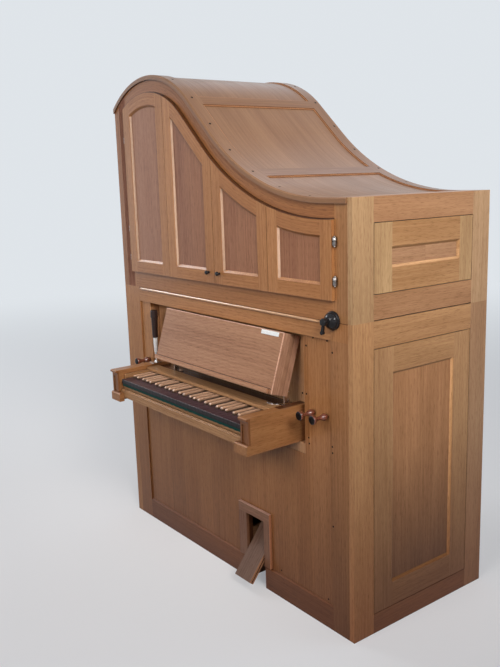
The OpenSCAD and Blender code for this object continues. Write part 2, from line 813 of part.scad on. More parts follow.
// tubular shade that widens a little upward, with a cap at its top
module lamp_shade() {
  color(dark) translate([lamp_x, lamp_y, desk_z1 + lamp_z0 + lamp_z1]) rotate_extrude()
    polygon([[0, 0], [lamp_r - 5, 0], [lamp_r - 4, 3], [lamp_r - 2, lamp_z2 - 33], [lamp_r, lamp_z2 - 30],
             [lamp_r, lamp_z2 - 5], [lamp_r - 3, lamp_z2 - 1], [lamp_r - 8, lamp_z2], [0, lamp_z2]]);
}

// turned stop knob, its round stock running through the front panel
module stop_knob(x) {
  e = -stop_len - panel_sink;
  color(rosewood) translate([x, panel_sink, stop_z])
    turned([[0, 80], [stop_r, 80], [stop_r, -0.4], [7, -0.4], [8, -3], [11, -9], [12, -14], [10.5, -20],
            [7, -27], [6, -34], [7, -42], [10, e + 16], [12, e + 12], [stop_d / 2, e + 9],
            [stop_d / 2, e + 4], [stop_d / 2 - 2, e + 1.5], [8, e], [0, e]]);
}

module stop_knob_1() {
  stop_knob(stop_xa);
}

module stop_knob_2() {
  stop_knob(stop_xb);
}

module stop_knob_3() {
  stop_knob(stop_xc);
}

module switch_base() {
  color(black) translate([switch_x, 0, switch_z])
    turned([[0, 0], [switch_d / 2, 0], [switch_d / 2, -6], [switch_d / 2 - 3, -13], [switch_d / 2 - 9, -20],
            [13, -25], [9, -26], [9, -29], [0, -29]]);
}

module switch_handle() {
  color(black) translate([switch_x, 0, switch_z]) {
    turned([[0, -29.3], [11, -29.3], [12, -32], [12, -42], [9, -46], [0, -47]]);
    rotate([0, 12, 0]) {
      blk([-4, -41, -32], [4, -34, -3]);
      translate([0, -42, -33]) rotate([-90, 0, 0]) cylinder(h = 9, r = 6);
    }
  }
}

module pedal_trim() {
  color(oak) difference() {
    blk([ped_x0 - trim_w - 11, panel_sink - trim_t, low_z0 + 1],
        [ped_x1 + trim_w, panel_sink, ped_z1 + trim_w]);
    blk([ped_x0, panel_sink - trim_t - 1, 0], [ped_x1, panel_sink + 1, ped_z1]);
  }
}

// two inner bearers standing on the base board, beside the pedal
module pedal_bearers() {
  color(oak_dark) difference() {
    union() {
      blk([ped_x0 - 20, front_t, base_t], [ped_x0 - 2, axle_y + bearer_d, axle_z + bearer_h]);
      blk([ped_x1 + 2, front_t, base_t], [ped_x1 + 20, axle_y + bearer_d, axle_z + bearer_h]);
    }
    translate([ped_x0 - 21, axle_y, axle_z]) rotate([0, 90, 0])
      cylinder(h = ped_x1 - ped_x0 + 42, r = axle_r);
  }
}

// steel axle the pedal rocks on
module pedal_axle() {
  color(chrome) translate([ped_x0 - 20, axle_y, axle_z]) rotate([0, 90, 0])
    cylinder(h = ped_x1 - ped_x0 + 40, r = axle_r);
}

module swell_pedal() {
  color(oak_dark) difference() {
    translate([ped_mid - ped_w / 2, axle_y, axle_z]) rotate([ped_slope, 0, 0]) {
      blk([0, -ped_len / 2, 10], [ped_w, ped_len / 2, 10 + ped_t]);
      translate([14, 0, 0]) blk([0, -16, -11], [ped_w - 28, 16, 11]);
    }
    translate([ped_x0, axle_y, axle_z]) rotate([0, 90, 0]) cylinder(h = ped_gap_w, r = axle_r + axle_gap);
  }
}

lower_front_frame();
lower_front_panel();
lower_side_right();
lower_side_left();
lower_back();
base_board();
upper_front_frame();
upper_side_right();
upper_side_left();
upper_back();
right_panels();
right_fields();
left_panels();
roof_frame();
roof_fields();
door_leaf_1();
door_leaf_2();
door_leaf_3();
door_leaf_4();
door_fields();
door_hinges();
door_knobs();
recess_lining();
desk_cheeks();
desk_bed();
key_rail();
felt_strip();
naturals();
sharps();
key_batten();
desk_shelf();
music_desk();
desk_fittings();
name_plate();
lamp_foot();
lamp_neck();
lamp_shade();
stop_knob_1();
stop_knob_2();
stop_knob_3();
switch_base();
switch_handle();
pedal_trim();
pedal_bearers();
pedal_axle();
swell_pedal();
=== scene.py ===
import math
import bpy
import bmesh
from mathutils import Matrix, Vector


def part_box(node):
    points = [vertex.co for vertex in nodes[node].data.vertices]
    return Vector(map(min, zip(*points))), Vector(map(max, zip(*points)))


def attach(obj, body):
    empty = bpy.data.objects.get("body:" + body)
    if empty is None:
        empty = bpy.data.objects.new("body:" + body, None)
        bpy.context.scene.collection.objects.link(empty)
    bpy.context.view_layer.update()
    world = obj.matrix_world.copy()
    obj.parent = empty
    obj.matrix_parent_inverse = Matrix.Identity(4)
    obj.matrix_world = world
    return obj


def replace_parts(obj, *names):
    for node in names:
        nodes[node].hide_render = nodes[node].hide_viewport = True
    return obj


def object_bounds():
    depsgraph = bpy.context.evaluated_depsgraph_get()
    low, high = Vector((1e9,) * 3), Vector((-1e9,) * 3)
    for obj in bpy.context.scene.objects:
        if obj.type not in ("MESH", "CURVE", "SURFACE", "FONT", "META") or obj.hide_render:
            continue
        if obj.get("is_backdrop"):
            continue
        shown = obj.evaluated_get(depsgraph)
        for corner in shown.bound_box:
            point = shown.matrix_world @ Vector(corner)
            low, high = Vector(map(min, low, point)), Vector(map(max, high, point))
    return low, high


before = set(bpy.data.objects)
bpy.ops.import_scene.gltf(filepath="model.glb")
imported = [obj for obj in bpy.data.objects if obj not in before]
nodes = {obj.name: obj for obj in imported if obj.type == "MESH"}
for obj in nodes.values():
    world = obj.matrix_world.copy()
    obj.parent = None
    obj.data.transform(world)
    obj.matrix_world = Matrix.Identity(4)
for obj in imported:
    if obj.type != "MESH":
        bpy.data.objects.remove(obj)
cad_lo, cad_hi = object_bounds()

# Camera at eye height, a little to the right of the key desk, looking slightly down. Its place,
# angles and lens come from the edges of the case.
yaw, pitch, roll = math.radians(53.055), math.radians(11.281), math.radians(-1.812)
look = Vector((-math.sin(yaw) * math.cos(pitch), math.cos(yaw) * math.cos(pitch),
               -math.sin(pitch)))
side = Vector((math.cos(yaw), math.sin(yaw), 0))
head = side.cross(look)
right = math.cos(roll) * side + math.sin(roll) * head
top = math.cos(roll) * head - math.sin(roll) * side
cam_data = bpy.data.cameras.new("camera")
cam_data.sensor_width = 36
cam_data.lens = 41.985
camera = bpy.data.objects.new("camera", cam_data)
bpy.context.collection.objects.link(camera)
pose = Matrix((right, top, -look)).transposed().to_4x4()
pose.translation = (2.25498, -1.55459, 1.43683)
camera.matrix_world = pose
bpy.context.scene.camera = camera
bpy.context.scene.view_settings.view_transform = "Standard"


# Studio floor and light. A pale floor runs without a seam into a pale surround. Soft light comes
# from the right, the front and the left, and weaker cool light is bounced back from the sides and
# from behind, so that the front stays in half shade.
def seen_rays(tree):
    """1 for the camera and for mirror images in metal and varnish, 0 for light on the piece."""
    path = tree.nodes.new("ShaderNodeLightPath")
    found = path.outputs["Is Camera Ray"]
    for kind in ("Is Glossy Ray", "Is Transmission Ray"):
        either = tree.nodes.new("ShaderNodeMath")
        either.operation = "MAXIMUM"
        tree.links.new(found, either.inputs[0])
        tree.links.new(path.outputs[kind], either.inputs[1])
        found = either.outputs[0]
    return found


world = bpy.data.worlds.new("surround")
bpy.context.scene.world = world
world.use_nodes = True
wt = world.node_tree
wt.nodes.clear()
w_out = wt.nodes.new("ShaderNodeOutputWorld")
w_mix = wt.nodes.new("ShaderNodeMixShader")
w_light = wt.nodes.new("ShaderNodeBackground")
w_seen = wt.nodes.new("ShaderNodeBackground")
w_light.inputs["Color"].default_value = (0.80, 0.88, 1.0, 1)
w_light.inputs["Strength"].default_value = 0.22
w_seen.inputs["Color"].default_value = (0.78, 0.82, 0.86, 1)
w_seen.inputs["Strength"].default_value = 0.95
wt.links.new(seen_rays(wt), w_mix.inputs[0])
wt.links.new(w_light.outputs[0], w_mix.inputs[1])
wt.links.new(w_seen.outputs[0], w_mix.inputs[2])
wt.links.new(w_mix.outputs[0], w_out.inputs[0])


def lamp(name, place, aim, size, power, colour, spread=180):
    data = bpy.data.lights.new(name, "AREA")
    data.shape = "RECTANGLE"
    data.size, data.size_y = size
    data.energy = power
    data.color = colour
    data.spread = math.radians(spread)
    ob = bpy.data.objects.new(name, data)
    bpy.context.collection.objects.link(ob)
    ob.location = place
    ob.rotation_euler = (Vector(aim) - Vector(place)).to_track_quat("-Z", "Y").to_euler()


lamp("soft_right", (3.4, -0.9, 3.0), (0.6, 0.3, 1.6), (1.6, 1.4), 16, (1.0, 0.98, 0.96), 50)
lamp("soft_front", (0.9, -3.6, 2.9), (0.0, 0.0, 1.15), (2.2, 1.6), 22, (1.0, 0.97, 0.97), 90)
lamp("soft_left", (-4.6, -1.2, 3.7), (0.0, 0.0, 1.1), (1.6, 1.2), 74, (0.88, 0.94, 1.0))
lamp("bounce_left", (-5.6, -2.4, 1.5), (0.0, 0.0, 1.2), (1.5, 2.6), 19, (0.80, 0.89, 1.0))
lamp("bounce_right", (3.9, 4.1, 3.1), (0.68, 0.3, 1.3), (3.0, 2.4), 43, (0.78, 0.87, 1.0))
lamp("bounce_back", (-2.5, 4.4, 5.0), (0.0, 0.3, 1.5), (4.0, 2.4), 18, (0.80, 0.88, 1.0))

floor_reach = 9
haze_from, haze_to = 1.2, 8.0       # between these distances the floor fades to the surround
corners = [(x * floor_reach, y * floor_reach, 0) for x, y in ((-1, -1), (1, -1), (1, 1), (-1, 1))]
floor_mesh = bpy.data.meshes.new("floor")
floor_mesh.from_pydata(corners, [], [(0, 1, 2, 3)])
floor = bpy.data.objects.new("floor", floor_mesh)
bpy.context.collection.objects.link(floor)
floor_mat = bpy.data.materials.new("floor_plain")
floor_mat.use_nodes = True
ft = floor_mat.node_tree
bsdf = ft.nodes["Principled BSDF"]
bsdf.inputs["Roughness"].default_value = 0.75
bsdf.inputs["Specular IOR Level"].default_value = 0.0
f_coord = ft.nodes.new("ShaderNodeTexCoord")
f_far = ft.nodes.new("ShaderNodeVectorMath")
f_far.operation = "LENGTH"
ft.links.new(f_coord.outputs["Object"], f_far.inputs[0])
f_haze = ft.nodes.new("ShaderNodeMapRange")
f_haze.interpolation_type = "SMOOTHSTEP"
f_haze.inputs["From Min"].default_value = haze_from
f_haze.inputs["From Max"].default_value = haze_to
ft.links.new(f_far.outputs["Value"], f_haze.inputs["Value"])
RGB_A, RGB_B, RGB_OUT = 6, 7, 2     # colour sockets of a mix node
f_near = ft.nodes.new("ShaderNodeMix")
f_glow = ft.nodes.new("ShaderNodeMix")
f_mix = ft.nodes.new("ShaderNodeMix")
for node, first, second in ((f_near, (0.60, 0.58, 0.56, 1), (0, 0, 0, 1)),
                            (f_glow, (0.264, 0.268, 0.280, 1), (0.741, 0.779, 0.817, 1)),
                            (f_mix, (0.16, 0.11, 0.09, 1), (0, 0, 0, 1))):
    node.data_type = "RGBA"
    node.inputs[RGB_A].default_value = first
    node.inputs[RGB_B].default_value = second
f_seen = seen_rays(ft)
ft.links.new(f_haze.outputs[0], f_near.inputs[0])
ft.links.new(f_haze.outputs[0], f_glow.inputs[0])
ft.links.new(f_seen, f_mix.inputs[0])
ft.links.new(f_near.outputs[RGB_OUT], f_mix.inputs[RGB_B])
ft.links.new(f_mix.outputs[RGB_OUT], bsdf.inputs["Base Color"])
ft.links.new(f_glow.outputs[RGB_OUT], bsdf.inputs["Emission Color"])
ft.links.new(f_seen, bsdf.inputs["Emission Strength"])
floor_mesh.materials.append(floor_mat)
floor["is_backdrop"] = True


# Lower case. Stiles, rails and the big front panel are oak under a clear satin varnish. The
# stiles run through and the rails are tenoned between them; panels are glued from upright boards.
NUM_A, NUM_B = 2, 3                 # number sockets of a mix node


class Shader:
    """Short hand for the node tree of one material, in the object's own metres."""

    def __init__(self, name):
        self.mat = bpy.data.materials.new(name)
        self.mat.use_nodes = True
        self.tree = self.mat.node_tree
        self.bsdf = self.tree.nodes["Principled BSDF"]
        self.coord = self.tree.nodes.new("ShaderNodeTexCoord").outputs["Object"]
        self.axes = self.split(self.coord)

    def put(self, value, socket):
        if isinstance(value, (int, float, tuple)):
            socket.default_value = value
        else:
            self.tree.links.new(value, socket)

    def set(self, **values):
        """Sockets of the shader by name, with _ for a space."""
        for name, value in values.items():
            self.put(value, self.bsdf.inputs[name.replace("_", " ")])

    def split(self, vec):
        node = self.tree.nodes.new("ShaderNodeSeparateXYZ")
        self.put(vec, node.inputs[0])
        return dict(zip("XYZ", node.outputs))

    def calc(self, op, *values):
        node = self.tree.nodes.new("ShaderNodeMath")
        node.operation = op
        for value, socket in zip(values, node.inputs):
            self.put(value, socket)
        return node.outputs[0]

    def plus(self, a, b):
        return self.calc("ADD", a, b)

    def less(self, a, b):
        return self.calc("SUBTRACT", a, b)

    def times(self, a, b):
        return self.calc("MULTIPLY", a, b)

    def mix(self, fac, a, b):
        node = self.tree.nodes.new("ShaderNodeMix")
        self.put(fac, node.inputs[0])
        self.put(a, node.inputs[NUM_A])
        self.put(b, node.inputs[NUM_B])
        return node.outputs[0]

    def mix_colour(self, fac, a, b, blend="MIX"):
        node = self.tree.nodes.new("ShaderNodeMix")
        node.data_type = "RGBA"
        node.blend_type = blend
        self.put(fac, node.inputs[0])
        self.put(a, node.inputs[RGB_A])
        self.put(b, node.inputs[RGB_B])
        return node.outputs[RGB_OUT]

    def tinted(self, colour, r, g=None, b=None):
        """The colour times r, g and b, or times r alone."""
        tone = self.vector(r, r if g is None else g, r if b is None else b)
        return self.mix_colour(1.0, colour, tone, "MULTIPLY")

    def vector(self, x, y, z):
        node = self.tree.nodes.new("ShaderNodeCombineXYZ")
        for value, socket in zip((x, y, z), node.inputs):
            self.put(value, socket)
        return node.outputs[0]

    def noise(self, vec, scale=1.0, detail=2.0, rough=0.5, stretch=(1, 1, 1)):
        place = self.tree.nodes.new("ShaderNodeMapping")
        place.inputs["Scale"].default_value = stretch
        self.put(vec, place.inputs["Vector"])
        node = self.tree.nodes.new("ShaderNodeTexNoise")
        node.inputs["Scale"].default_value = scale
        node.inputs["Detail"].default_value = detail
        node.inputs["Roughness"].default_value = rough
        self.put(place.outputs[0], node.inputs["Vector"])
        return node.outputs["Fac"]

    def chance(self, value):
        node = self.tree.nodes.new("ShaderNodeTexWhiteNoise")
        node.noise_dimensions = "1D"
        self.put(value, node.inputs["W"])
        return node.outputs["Value"]

    def spread(self, value, from_lo, from_hi, to_lo, to_hi):
        node = self.tree.nodes.new("ShaderNodeMapRange")
        for v, s in zip((value, from_lo, from_hi, to_lo, to_hi), node.inputs):
            self.put(v, s)
        return node.outputs[0]

    def worn(self, colour, reach, dark):
        """Painted shade, with some dust: an occlusion test darkens the joints and inner corners.
        """
        node = self.tree.nodes.new("ShaderNodeAmbientOcclusion")
        node.samples = 4
        node.inputs["Distance"].default_value = reach
        return self.tinted(colour, self.spread(node.outputs["AO"], 0.15, 0.85, dark, 1.0))

    def within(self, tests):
        """1 where every (axis, low, high) of the tests holds."""
        found = 1.0
        for axis, low, high in tests:
            above = self.calc("GREATER_THAN", self.axes[axis], low)
            below = self.calc("LESS_THAN", self.axes[axis], high)
            both = self.times(above, below)
            found = both if found == 1.0 else self.times(found, both)
        return found


# Axes across, through and along the fibre, for grain along Z, X, Y or the roof curve S.
ORDER = {"Z": "XYZ", "X": "ZYX", "Y": "XZY", "S": "DYS"}
# Parts of the figure: size per metre, detail, roughness and stretch along the fibre.
WARP, CLOUD = (6.0, 2.0, 0.5, 0.13), (9.0, 2.0, 0.5, 0.10)
STREAK, PORE = (150.0, 3.0, 0.65, 0.022), (900.0, 1.0, 0.5, 0.04)
RINGS, SWAY = 92.0, 0.055       # growth rings in a metre of width, and how far they wander
# Metres along the plank between the places that two pieces, zones or boards are cut from.
SEED_STEP, ZONE_STEP, BOARD_STEP = 0.731, 0.37, 2.7
# Shares of rings, clouds, streaks and single boards in the tone, and the ends of its ramp.
RING_SHARE, CLOUD_SHARE, STREAK_SHARE, BOARD_SHARE = 0.18, 0.42, 0.50, 0.16
DARK_AT, LIGHT_AT = 0.38, 0.82
SEAM_HALF, SEAM_TONE = 0.0006, 0.4      # half the width of a glue line, and how dark it is
SATIN, VARNISH = 0.16, 0.14     # mirror strength of the wood and of the coat over it
WHITE = (1.0, 1.0, 1.0, 1.0)


def oak(name, dark, light, grain="Z", zones=(), boards=(), across="X", seed=0.0, rough=0.38,
        figure=0.0, tilt=0.0, curve=False, coat=VARNISH, fade=None, pores=0.62, dull=()):
    """Varnished oak. Each zone is (grain, tint, tests): a rail or stile with fibres of its own,
    or a strip whose tint is painted light or shade; fade is (low, high, tint), painted shade that
    darkens toward the floor; dull holds tests for unpolished places; tilt turns the axes with a
    leaning board."""
    k = Shader(name)
    if tilt:
        turned = k.tree.nodes.new("ShaderNodeVectorRotate")
        turned.rotation_type = "X_AXIS"
        turned.inputs["Angle"].default_value = tilt
        k.put(k.coord, turned.inputs["Vector"])
        k.axes = k.split(turned.outputs[0])
    if curve:
        follow_roof(k)
    a, b, c = [k.axes[n] for n in ORDER[grain]]
    tint = WHITE
    start = seed * SEED_STEP
    shift = start
    for i, (way, colour, tests) in enumerate(zones):
        here = k.within(tests)
        a, b, c = [k.mix(here, old, k.axes[n]) for old, n in zip((a, b, c), ORDER[way])]
        tint = k.mix_colour(here, tint, (*colour, 1.0))
        shift = k.mix(here, shift, start + ZONE_STEP * (i + 1))
    board = 0.5
    seam = None
    if boards:
        count = 0.0
        for place in boards:
            count = k.plus(count, k.calc("GREATER_THAN", k.axes[across], place))
            off = k.calc("ABSOLUTE", k.less(k.axes[across], place))
            gap = k.calc("LESS_THAN", off, SEAM_HALF)
            seam = gap if seam is None else k.calc("MAXIMUM", seam, gap)
        board = k.chance(k.plus(count, seed))
        shift = k.plus(shift, k.times(board, BOARD_STEP))
    fibre = k.vector(k.plus(a, shift), k.plus(b, k.times(shift, 0.6)),
                     k.plus(c, k.times(shift, 1.9)))
    warp, cloud, streak, pore = [k.noise(fibre, size, detail, grit, (1.0, 1.0, long))
                                 for size, detail, grit, long in (WARP, CLOUD, STREAK, PORE)]
    u = k.plus(k.plus(a, shift), k.times(warp, SWAY))
    if figure:
        bow = k.times(k.calc("SINE", k.times(c, 5.3)), figure)
        u = k.plus(k.calc("ABSOLUTE", k.less(u, bow)), k.times(c, 0.05))
    wave = k.calc("ABSOLUTE", k.less(k.calc("FRACT", k.times(u, RINGS)), 0.5))
    shade = k.times(wave, RING_SHARE)
    for part, share in ((cloud, CLOUD_SHARE), (streak, STREAK_SHARE), (board, BOARD_SHARE)):
        shade = k.plus(shade, k.times(part, share))
    ramp = k.tree.nodes.new("ShaderNodeValToRGB")
    for stop, at, colour in zip(ramp.color_ramp.elements, (DARK_AT, LIGHT_AT), (dark, light)):
        stop.position = at
        stop.color = (*colour, 1)
    k.put(shade, ramp.inputs[0])
    colour = k.mix_colour(1.0, ramp.outputs[0], tint, "MULTIPLY")
    dash = k.spread(pore, 0.30, 0.44, pores, 1.0)
    colour = k.tinted(colour, dash, k.calc("POWER", dash, 1.2), k.calc("POWER", dash, 1.4))
    if fade:
        low, high, deepest = fade
        rise = k.spread(k.axes["Z"], low, high, 0.0, 1.0)
        colour = k.mix_colour(1.0, colour, k.mix_colour(rise, (*deepest, 1.0), WHITE), "MULTIPLY")
    if seam is not None:
        colour = k.mix_colour(k.times(seam, 0.35), colour, (*[SEAM_TONE * c for c in dark], 1))
    bump = k.tree.nodes.new("ShaderNodeBump")
    bump.inputs["Strength"].default_value = 0.12
    bump.inputs["Distance"].default_value = 0.0004
    k.put(k.plus(k.times(dash, 0.8), streak), bump.inputs["Height"])
    # The base colour is darkened with painted shade in the joints and inner corners.
    k.set(Base_Color=k.worn(colour, 0.007, 0.22), Normal=bump.outputs[0], Coat_Weight=coat,
          Roughness=k.spread(streak, 0.3, 0.7, rough + 0.06, rough - 0.05),
          Specular_IOR_Level=SATIN, Coat_Roughness=0.14)
    if dull:
        bright = k.less(1.0, k.within(dull))
        k.set(Coat_Weight=k.times(bright, coat), Specular_IOR_Level=k.times(bright, SATIN))
    return k.mat


def paint(name, mat, width=0.0012):
    """Give a CAD node its material and slightly rounded arrises, as sandpaper leaves them."""
    ob = nodes[name]
    ob.data.materials.clear()
    ob.data.materials.append(mat)
    if width:
        m = ob.modifiers.new("arris", "BEVEL")
        m.width = width
        m.segments = 2
        m.limit_method = "ANGLE"
        m.angle_limit = math.radians(32)


half, deep = cad_hi.x, cad_hi.y
split_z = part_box("lower_front_frame")[1].z
panel_lo, panel_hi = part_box("lower_front_panel")
panel_y = panel_lo.y
panel_lap = 0.009       # the front panel reaches this far behind its frame on every side
low_x0, low_x1 = panel_lo.x + panel_lap, panel_hi.x - panel_lap
low_z0, low_z1 = panel_lo.z + panel_lap, panel_hi.z - panel_lap
lining_t = 0.010        # boards of the music desk's recess
recess_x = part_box("recess_lining")[0].x + lining_t
bead_x0, bead_x1 = -0.561, 0.541    # ends of the bead under the joint of the cases
END = 9.0               # farther than any edge: the open end of a zone

FRONT_D, FRONT_L = (0.270, 0.108, 0.036), (0.480, 0.222, 0.084)
SIDE_D, SIDE_L = (0.300, 0.146, 0.060), (0.505, 0.285, 0.134)
PLAIN = (1.0, 1.0, 1.0)

# Zones: top rail, bottom rail in painted shade, right stile, and painted shade in the open joint
# right of the bead.
# Painted shade: the front grows darker toward the floor.
front_fade = (0.0, 0.62, (0.50, 0.40, 0.36))
zones = [("X", PLAIN, [("X", low_x0, low_x1), ("Z", low_z1, END)]),
         ("X", (0.76, 0.67, 0.63), [("X", low_x0, low_x1), ("Z", -END, low_z0)]),
         ("Z", (0.86, 0.88, 0.95), [("X", low_x1, END), ("Z", -END, low_z1)]),
         ("X", (0.26, 0.20, 0.18), [("X", bead_x1 + 0.004, END), ("Z", split_z - 0.0022, END)])]
paint("lower_front_frame", oak("oak_front_frame", FRONT_D, FRONT_L, zones=zones, seed=1.0,
                               fade=front_fade))
# Zones: a painted highlight on the arris left of the recess, darker right edge, painted shade on
# the jambs of the pedal opening.
boards = [-0.47, -0.385, -0.29, -0.18, -0.09, 0.02, 0.115, 0.22, 0.31, 0.412, 0.475]
recess_z0, recess_z1 = 0.722, 0.936
pedal_x0, pedal_x1, pedal_z = 0.128, 0.245, 0.3
zones = [("Z", (1.3, 1.45, 1.7), [("X", recess_x - 0.0035, recess_x + 0.001),
                                  ("Z", recess_z0, recess_z1)]),
         ("Z", (0.90, 0.90, 0.95), [("X", 0.49, END), ("Z", -END, 0.7)]),
         ("Z", (0.22, 0.17, 0.15), [("X", pedal_x0, pedal_x1), ("Y", panel_y + 0.0012, END),
                                    ("Z", -END, pedal_z)])]
paint("lower_front_panel", oak("oak_front_panel", FRONT_D, FRONT_L, zones=zones, boards=boards,
                               seed=2.0, fade=front_fade))
paint("lower_side_left", oak("oak_left_side", FRONT_D, FRONT_L, seed=3.0))

# Zones of the right side: front stile, rear stile, bottom rail in painted shade, top rail. The
# fade is painted shade, darker toward the floor.
stile_y0, stile_y1 = 0.086, deep - 0.085
mid_z = 0.5
zones = [("Z", (1.12, 1.08, 1.04), [("Y", -END, stile_y0)]),
         ("Z", (0.90, 0.93, 1.06), [("Y", stile_y1, END)]),
         ("Y", (0.62, 0.50, 0.44), [("Y", stile_y0, stile_y1), ("Z", -END, mid_z)]),
         ("Y", (1.06, 1.03, 0.99), [("Y", stile_y0, stile_y1), ("Z", mid_z, END)])]
paint("lower_side_right", oak("oak_right_side", SIDE_D, SIDE_L, zones=zones, seed=4.0,
                              fade=(0.0, 0.62, (0.74, 0.54, 0.44))))
inside = oak("oak_inside", (0.10, 0.045, 0.02), (0.26, 0.13, 0.06), grain="X", seed=5.0,
             rough=0.6, coat=0.0)
for name in ("base_board", "pedal_bearers"):
    paint(name, inside)
paint("recess_lining", oak("oak_lining", (0.33, 0.15, 0.065), (0.56, 0.31, 0.15), seed=9.0))
back_boards = [-0.55 + 0.11 * i for i in range(11)]
back = oak("oak_back", (0.17, 0.08, 0.035), (0.36, 0.19, 0.09), boards=back_boards, seed=6.0,
           rough=0.55, coat=0.1)
for name in ("lower_back", "upper_back", "left_panels"):
    paint(name, back)

# Right side panels. Both lift-out panels have stiles running through and rails between them, and
# the fields are set in a bevelled edge; the lower field is glued from two boards.
lower_z0, lower_z1 = 0.066, 0.929
upper_z0, upper_z1 = 1.091, 1.302
lower_y0, lower_y1 = stile_y0 + 0.087, stile_y1 - 0.083
upper_y0, upper_y1 = stile_y0 + 0.078, stile_y1 - 0.064
bevel_w = 0.0085
bevel_x = half - 0.0008     # what lies deeper than this is bevel
# Zones: lower rails, painted highlight on the lower rear bevel; upper stiles with a painted cool
# sheen, upper rails, painted highlight on the upper lower bevel. The fade is painted shade,
# darker toward the floor.
zones = [("Y", (0.98, 0.96, 0.92), [("Y", lower_y0, lower_y1), ("Z", lower_z0, lower_z1)]),
         ("Z", (1.5, 1.5, 1.5), [("X", -END, bevel_x), ("Y", lower_y1 - bevel_w, lower_y1),
                                 ("Z", 0.15, 0.85)]),
         ("Z", (1.06, 1.20, 1.26), [("Z", upper_z0, upper_z1)]),
         ("Y", (1.04, 1.02, 0.94), [("Y", upper_y0, upper_y1), ("Z", upper_z0, upper_z1)]),
         ("Y", (1.35, 1.40, 1.45), [("X", -END, bevel_x), ("Y", upper_y0, upper_y1),
                                    ("Z", upper_z0, (upper_z0 + upper_z1) / 2)])]
paint("right_panels", oak("oak_right_panels", SIDE_D, SIDE_L, zones=zones, seed=7.0,
                          fade=(0.03, 0.62, (0.49, 0.35, 0.29)),
                          dull=[("X", -END, half - 0.0006), ("Z", 0.12, 0.165)]))
# Zone: the upper field with a painted cool sheen. The fade is painted shade, darker toward the
# floor.
zones = [("Y", (1.04, 1.17, 1.40), [("Z", upper_z0, upper_z1)])]
paint("right_fields", oak("oak_right_fields", (0.272, 0.118, 0.046), (0.490, 0.242, 0.109),
                          zones=zones, boards=[0.318], across="Y", seed=8.0,
                          fade=(0.05, 0.58, (0.22, 0.14, 0.11))))


# Small countersunk screws that hold the front panel, dark with age, each a turned head with its
# countersink, and the dark dots where blocks behind are screwed.
def plain(name, colour, rough, metal=0.0, coat=0.0, speck=0.0, shine=0.5):
    """Plain stock: plastic, metal, enamel. A faint noise gives it the marks of use."""
    k = Shader(name)
    grime = k.noise(k.coord, 90.0, 3.0, 0.6)
    dim = k.spread(grime, 0.3, 0.7, 1.0 - speck, 1.0)
    k.set(Base_Color=k.tinted((*colour, 1.0), dim), Metallic=metal, Specular_IOR_Level=shine,
          Roughness=k.spread(grime, 0.3, 0.7, rough * 0.85, rough * 1.2),
          Coat_Weight=coat, Coat_Roughness=0.06)
    return k.mat


def piece(name, mesh, body="case", mats=(), smooth=40):
    """Bring a finished bmesh into the scene and let it ride on its body."""
    data = bpy.data.meshes.new(name)
    mesh.to_mesh(data)
    mesh.free()
    for m in mats:
        data.materials.append(m)
    ob = bpy.data.objects.new(name, data)
    bpy.context.collection.objects.link(ob)
    data.polygons.foreach_set("use_smooth", [True] * len(data.polygons))
    data.set_sharp_from_angle(angle=math.radians(smooth))
    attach(ob, body)
    return ob


def turn(mesh, profile, place, axis=(0, 0, 1), steps=40, mat=0):
    """Turned form: profile points (radius, height) swept round the axis through place."""
    pose = Vector((0, 0, 1)).rotation_difference(Vector(axis)).to_matrix().to_4x4()
    pose.translation = place
    rings = []
    for r, h in profile:
        around = [i * math.tau / steps for i in range(steps)] if r else [0.0]
        rings.append([mesh.verts.new(pose @ Vector((r * math.cos(t), r * math.sin(t), h)))
                      for t in around])
    for low, up in zip(rings, rings[1:]):
        for i in range(steps):
            j = (i + 1) % steps
            ring = [low[i % len(low)], low[j % len(low)], up[j % len(up)], up[i % len(up)]]
            face = mesh.faces.new(list(dict.fromkeys(ring)))
            face.material_index = mat


dark_steel = plain("screw_steel", (0.006, 0.004, 0.004), 0.7, shine=0.1)
screw = [(0, 0.0003), (0.0018, 0.0002), (0.0021, 0.0004), (0.0030, 0.0005), (0.0033, -0.0003)]
spots = [(0.501, 0.951), (0.564, 0.950), (0.468, 0.921), (0.593, 0.919), (0.447, 0.764),
         (0.466, 0.765), (0.474, 0.622), (0.476, 0.603), (0.589, 0.623), (0.590, 0.603),
         (0.589, 0.361), (0.557, 0.096), (0.319, 0.100)]
mesh = bmesh.new()
for x, z in spots:
    sunk = panel_y if low_x0 < x < low_x1 and low_z0 < z < low_z1 else 0.0
    turn(mesh, screw, (x, sunk, z), (0, -1, 0), 16)
piece("panel_screws", mesh, mats=[dark_steel])


# A half-round bead is planed along the upper front edge of the lower case, under the joint of
# the two cases; it stops short of the blower switch and is polished by hands and dusters. Its
# pale colour is partly a painted highlight.
def skin(mesh, rows, closed=False):
    """Faces from each row of points to the next; closed rows are rings."""
    for near, far in zip(rows, rows[1:]):
        for j in range(len(near) if closed else len(near) - 1):
            k = (j + 1) % len(near)
            mesh.faces.new((near[j], near[k], far[k], far[j]))


bead_r, bead_y, bead_z = 0.0048, 0.0004, split_z - 0.0062
bead_steps, arc_steps = 64, 12
mesh = bmesh.new()
rows = []
for i in range(bead_steps + 1):
    x = bead_x0 + (bead_x1 - bead_x0) * i / bead_steps
    r = bead_r * min(1.0, 0.25 + 3.0 * min(i, bead_steps - i))      # both ends are cut slanting
    rows.append([mesh.verts.new((x, bead_y - r * math.sin(a), bead_z + r * math.cos(a)))
                 for a in [math.pi * j / arc_steps for j in range(arc_steps + 1)]])
skin(mesh, rows[::-1])
piece("case_bead", mesh, mats=[oak("oak_bead", FRONT_L, (0.60, 0.36, 0.19), grain="X", seed=10.0,
                                   rough=0.2, coat=1.0)])


